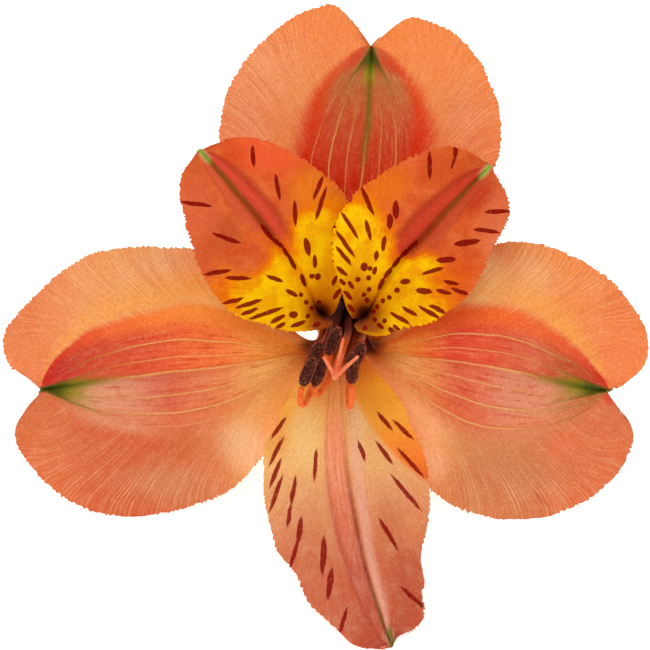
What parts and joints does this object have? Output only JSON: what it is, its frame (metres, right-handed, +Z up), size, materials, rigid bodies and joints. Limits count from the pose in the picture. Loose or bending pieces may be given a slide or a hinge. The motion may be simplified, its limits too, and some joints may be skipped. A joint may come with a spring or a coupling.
{
  "type": "alstroemeria flower",
  "caption": "Open alstroemeria bloom with notched outer tepals, streaked yellow-throated inner tepals, stamens, style, ribbed ovary and its own cut stalk, lying face up on a surface.",
  "frame": {"origin": "middle of the bounding box, on the surface the bloom lies on", "axes": "+Z up from the surface, +Y back along the stalk (the bloom looks forward, to -Y, and up), +X to the right as the bloom is faced"},
  "size_m": [0.0726, 0.0948, 0.0431],
  "materials": {
    "outer_tepal": "satin",
    "inner_tepal": "satin",
    "lower_tepal": "satin",
    "filament": "satin",
    "pollen": "matte",
    "style": "satin",
    "green_stalk": "satin"
  },
  "bodies": {
    "root": {"tepal_outer_top": "outer_tepal", "tepal_outer_left": "outer_tepal", "tepal_outer_right": "outer_tepal", "tepal_inner_left": "inner_tepal", "tepal_inner_right": "inner_tepal", "tepal_inner_lower": "lower_tepal", "filament_1": "filament", "anther_1": "pollen", "filament_2": "filament", "anther_2": "pollen", "filament_3": "filament", "anther_3": "pollen", "filament_4": "filament", "anther_4": "pollen", "filament_5": "filament", "anther_5": "pollen", "filament_6": "filament", "anther_6": "pollen", "style": "style", "ovary_stalk": "green_stalk"}
  },
  "joints": []
}
